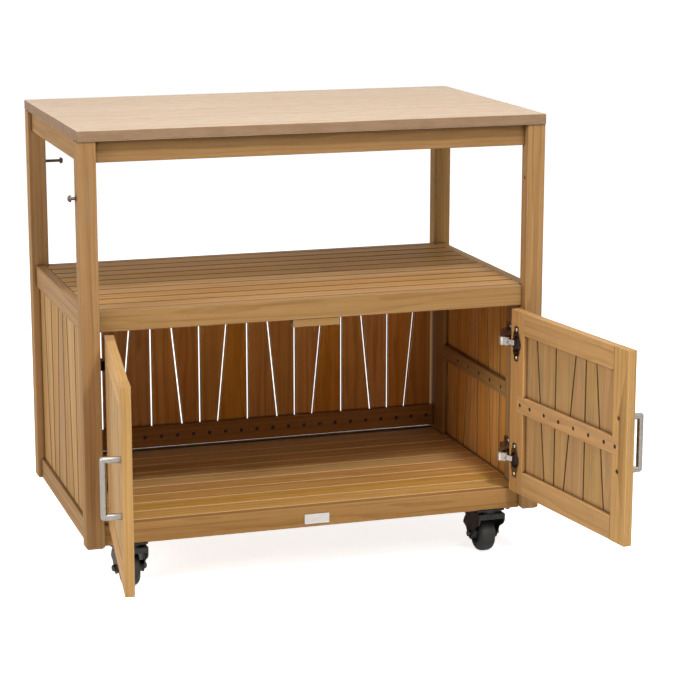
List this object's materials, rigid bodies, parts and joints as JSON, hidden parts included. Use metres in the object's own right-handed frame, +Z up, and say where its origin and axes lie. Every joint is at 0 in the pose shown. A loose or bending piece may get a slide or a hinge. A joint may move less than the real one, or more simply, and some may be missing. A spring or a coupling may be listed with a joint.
{
  "type": "outdoor kitchen cabinet on casters",
  "caption": "Slatted timber outdoor kitchen cabinet with worktop, open shelf bay, two framed doors with concealed hinges and swivel casters with front brakes.",
  "frame": {"origin": "On the floor under the middle of the box round the whole object with both doors open 98 degrees", "axes": "+X to the right as seen from the front, +Y to the back, +Z up; the doors open towards -Y"},
  "size_m": [1.0224, 1.0096, 0.902],
  "materials": {
    "timber": "satin oiled softwood with vertical grain",
    "board_timber": "satin oiled tongue of lighter boards",
    "worktop_timber": "pale satin sealed timber",
    "bright_steel": "polished nickel plate",
    "handle_steel": "brushed",
    "plate_steel": "brushed, blank",
    "screw_steel": "dull zinc",
    "fork_steel": "black satin paint",
    "tyre_rubber": "matt",
    "pedal_plastic": "matt black"
  },
  "bodies": {
    "cabinet": {"worktop": "worktop_timber", "front_left_post": "timber", "front_right_post": "timber", "rear_left_post": "timber", "rear_right_post": "timber", "front_apron": "timber", "rear_apron": "timber", "side_aprons": "timber", "front_shelf_rail": "timber", "rear_shelf_rail": "timber", "side_shelf_rails": "timber", "shelf_slats": "board_timber", "shelf_joists": "timber", "front_base_rail": "timber", "rear_base_rail": "timber", "side_base_rails": "timber", "floor_slats": "board_timber", "floor_joists": "timber", "left_boards": "board_timber", "right_boards": "board_timber", "back_boards": "board_timber", "side_uprights": "timber", "side_battens": "timber", "back_battens": "timber", "panel_screws": "screw_steel", "door_stop": "timber", "blank_plate": "plate_steel", "link_bolts": "screw_steel", "hinge_arms": "bright_steel", "caster_blocks": "timber", "caster_plates": "fork_steel", "caster_screws": "screw_steel"},
    "left_door": {"left_hinge_stile": "timber", "left_free_stile": "timber", "left_door_rails": "timber", "left_door_boards": "board_timber", "left_door_batten": "timber", "left_door_screws": "screw_steel", "left_handle": "handle_steel", "left_hinge_cups": "bright_steel"},
    "left_links": {"left_hinge_links": "bright_steel"},
    "right_door": {"right_hinge_stile": "timber", "right_free_stile": "timber", "right_door_rails": "timber", "right_door_boards": "board_timber", "right_door_batten": "timber", "right_door_screws": "screw_steel", "right_handle": "handle_steel", "right_hinge_cups": "bright_steel"},
    "right_links": {"right_hinge_links": "bright_steel"},
    "front_left_caster_fork": {"front_left_fork": "fork_steel"},
    "front_left_caster_wheel": {"front_left_wheel": "tyre_rubber"},
    "front_left_brake_pedal": {"front_left_brake": "pedal_plastic"},
    "front_right_caster_fork": {"front_right_fork": "fork_steel"},
    "front_right_caster_wheel": {"front_right_wheel": "tyre_rubber"},
    "front_right_brake_pedal": {"front_right_brake": "pedal_plastic"},
    "rear_left_caster_fork": {"rear_left_fork": "fork_steel"},
    "rear_left_caster_wheel": {"rear_left_wheel": "tyre_rubber"},
    "rear_right_caster_fork": {"rear_right_fork": "fork_steel"},
    "rear_right_caster_wheel": {"rear_right_wheel": "tyre_rubber"}
  },
  "joints": [
    {"name": "left_door_hinge", "type": "hinge", "parent": "cabinet", "child": "left_door", "pos_m": [-0.4196, -0.08914, 0.3285], "axis": [0, 0, 1], "range_deg": [-7, 98]},
    {"name": "left_hinge_link_pin", "type": "hinge", "parent": "cabinet", "child": "left_links", "pos_m": [-0.3884, -0.06924, 0.3285], "axis": [0, 0, -1], "range_deg": [-3.5, 49]},
    {"name": "right_door_hinge", "type": "hinge", "parent": "cabinet", "child": "right_door", "pos_m": [0.4196, -0.08914, 0.3285], "axis": [0, 0, -1], "range_deg": [-7, 98]},
    {"name": "right_hinge_link_pin", "type": "hinge", "parent": "cabinet", "child": "right_links", "pos_m": [0.3884, -0.06924, 0.3285], "axis": [0, 0, 1], "range_deg": [-3.5, 49]},
    {"name": "front_left_swivel", "type": "hinge", "parent": "cabinet", "child": "front_left_caster_fork", "pos_m": [-0.37, -0.05714, 0.085], "axis": [0, 0, 1], "continuous": true},
    {"name": "front_left_axle", "type": "hinge", "parent": "front_left_caster_fork", "child": "front_left_caster_wheel", "pos_m": [-0.37, -0.02714, 0.0375], "axis": [1, 0, 0], "continuous": true},
    {"name": "front_left_brake_pin", "type": "hinge", "parent": "front_left_caster_fork", "child": "front_left_brake_pedal", "pos_m": [-0.37, -0.00018, 0.076], "axis": [1, 0, 0], "range_deg": [0, 15]},
    {"name": "front_right_swivel", "type": "hinge", "parent": "cabinet", "child": "front_right_caster_fork", "pos_m": [0.37, -0.05714, 0.085], "axis": [0, 0, 1], "continuous": true},
    {"name": "front_right_axle", "type": "hinge", "parent": "front_right_caster_fork", "child": "front_right_caster_wheel", "pos_m": [0.37, -0.02714, 0.0375], "axis": [1, 0, 0], "continuous": true},
    {"name": "front_right_brake_pin", "type": "hinge", "parent": "front_right_caster_fork", "child": "front_right_brake_pedal", "pos_m": [0.37, -0.00018, 0.076], "axis": [1, 0, 0], "range_deg": [0, 15]},
    {"name": "rear_left_swivel", "type": "hinge", "parent": "cabinet", "child": "rear_left_caster_fork", "pos_m": [-0.37, 0.43486, 0.085], "axis": [0, 0, 1], "continuous": true},
    {"name": "rear_left_axle", "type": "hinge", "parent": "rear_left_caster_fork", "child": "rear_left_caster_wheel", "pos_m": [-0.37, 0.46486, 0.0375], "axis": [1, 0, 0], "continuous": true},
    {"name": "rear_right_swivel", "type": "hinge", "parent": "cabinet", "child": "rear_right_caster_fork", "pos_m": [0.37, 0.43486, 0.085], "axis": [0, 0, 1], "continuous": true},
    {"name": "rear_right_axle", "type": "hinge", "parent": "rear_right_caster_fork", "child": "rear_right_caster_wheel", "pos_m": [0.37, 0.46486, 0.0375], "axis": [1, 0, 0], "continuous": true}
  ],
  "couplings": [
    {"joint": "left_hinge_link_pin", "follows": "left_door_hinge", "ratio": 0.5},
    {"joint": "right_hinge_link_pin", "follows": "right_door_hinge", "ratio": 0.5}
  ]
}
